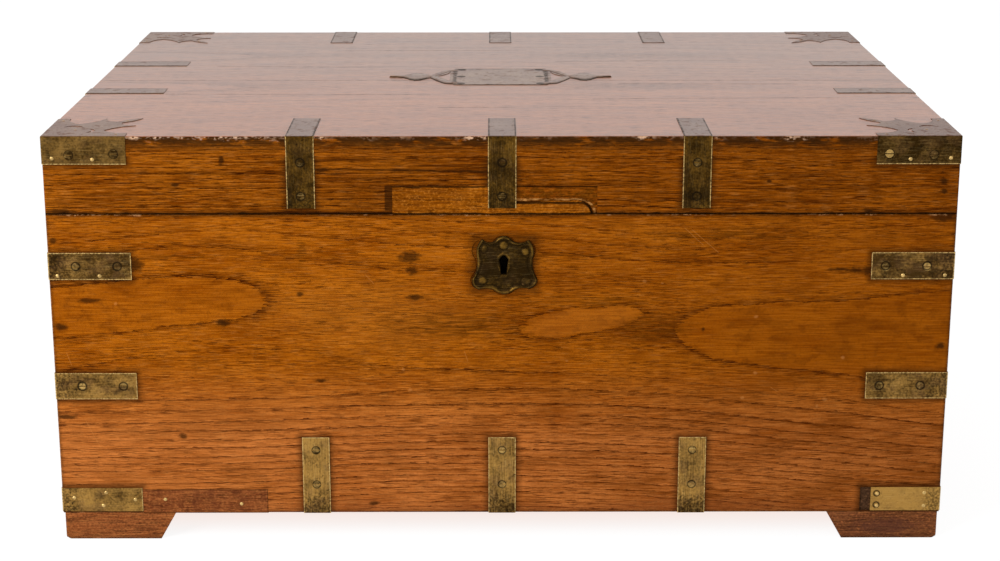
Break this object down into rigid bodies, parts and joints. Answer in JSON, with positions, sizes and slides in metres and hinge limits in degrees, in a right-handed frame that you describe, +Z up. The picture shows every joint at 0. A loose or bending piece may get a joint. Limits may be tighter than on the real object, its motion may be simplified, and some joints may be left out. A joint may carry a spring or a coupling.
{
  "type": "campaign chest",
  "caption": "Brass-bound teak campaign chest: dovetailed body on bracket feet, lift-up lid on stop hinges, sliding-bolt lock, drop handles on the ends.",
  "frame": {"origin": "centre of the footprint, on the floor", "axes": "+X to the right seen from the front, +Y from the keyhole side to the hinge side, +Z up"},
  "size_m": [0.853, 0.5904, 0.3876],
  "materials": {
    "teak": "oiled and waxed, worn",
    "repair_teak": "waxed",
    "dark_timber": "stained, worn",
    "aged_brass": "tarnished strip",
    "iron": "oiled iron"
  },
  "bodies": {
    "carcass": {"back_bottom_straps": "aged_brass", "back_left_corner_straps": "aged_brass", "back_left_foot_face": "dark_timber", "back_left_foot_return": "dark_timber", "back_right_corner_straps": "aged_brass", "back_right_foot_face": "dark_timber", "back_right_foot_return": "dark_timber", "body_back_board": "teak", "body_front_board": "teak", "body_left_end": "teak", "body_pins": "aged_brass", "body_repair_strip": "repair_teak", "body_right_end": "teak", "body_screws": "aged_brass", "bottom_back_plank": "teak", "bottom_front_plank": "teak", "bottom_middle_plank": "teak", "escutcheon": "aged_brass", "foot_glue_blocks": "dark_timber", "front_bottom_straps": "aged_brass", "front_left_corner_straps": "aged_brass", "front_left_foot_face": "dark_timber", "front_left_foot_return": "dark_timber", "front_right_corner_straps": "aged_brass", "front_right_foot_face": "dark_timber", "front_right_foot_return": "dark_timber", "hinge_pins": "iron", "left_bottom_straps": "aged_brass", "left_handle_plate": "aged_brass", "left_hinge_body_leaf": "aged_brass", "lock_cap": "aged_brass", "lock_case": "aged_brass", "lock_spring": "iron", "right_bottom_straps": "aged_brass", "right_handle_plate": "aged_brass", "right_hinge_body_leaf": "aged_brass"},
    "lid": {"left_hinge_lid_leaf": "aged_brass", "lid_back_left_cap": "aged_brass", "lid_back_rail": "teak", "lid_back_right_cap": "aged_brass", "lid_back_straps": "aged_brass", "lid_back_top_board": "teak", "lid_front_left_cap": "aged_brass", "lid_front_rail": "teak", "lid_front_right_cap": "aged_brass", "lid_front_straps": "aged_brass", "lid_front_top_board": "teak", "lid_left_rail": "teak", "lid_left_straps": "aged_brass", "lid_link_plate": "aged_brass", "lid_name_plate": "aged_brass", "lid_pins": "aged_brass", "lid_repair_pieces": "repair_teak", "lid_right_rail": "teak", "lid_right_straps": "aged_brass", "lid_screws": "aged_brass", "right_hinge_lid_leaf": "aged_brass"},
    "bolt": {"lock_bolt": "iron"},
    "left_handle": {"left_handle_bail": "aged_brass"},
    "right_handle": {"right_handle_bail": "aged_brass"}
  },
  "joints": [
    {"name": "lid_hinge", "type": "hinge", "parent": "carcass", "child": "lid", "pos_m": [0, 0.2943, 0.31465], "axis": [-1, 0, 0], "range_deg": [0, 100]},
    {"name": "bolt_slide", "type": "slide", "parent": "carcass", "child": "bolt", "axis": [1, 0, 0], "range_m": [0, 0.009]},
    {"name": "left_handle_swing", "type": "hinge", "parent": "carcass", "child": "left_handle", "pos_m": [-0.42, 0, 0.2225], "axis": [0, 1, 0], "range_deg": [0, 90]},
    {"name": "right_handle_swing", "type": "hinge", "parent": "carcass", "child": "right_handle", "pos_m": [0.42, 0, 0.2225], "axis": [0, -1, 0], "range_deg": [0, 90]}
  ]
}
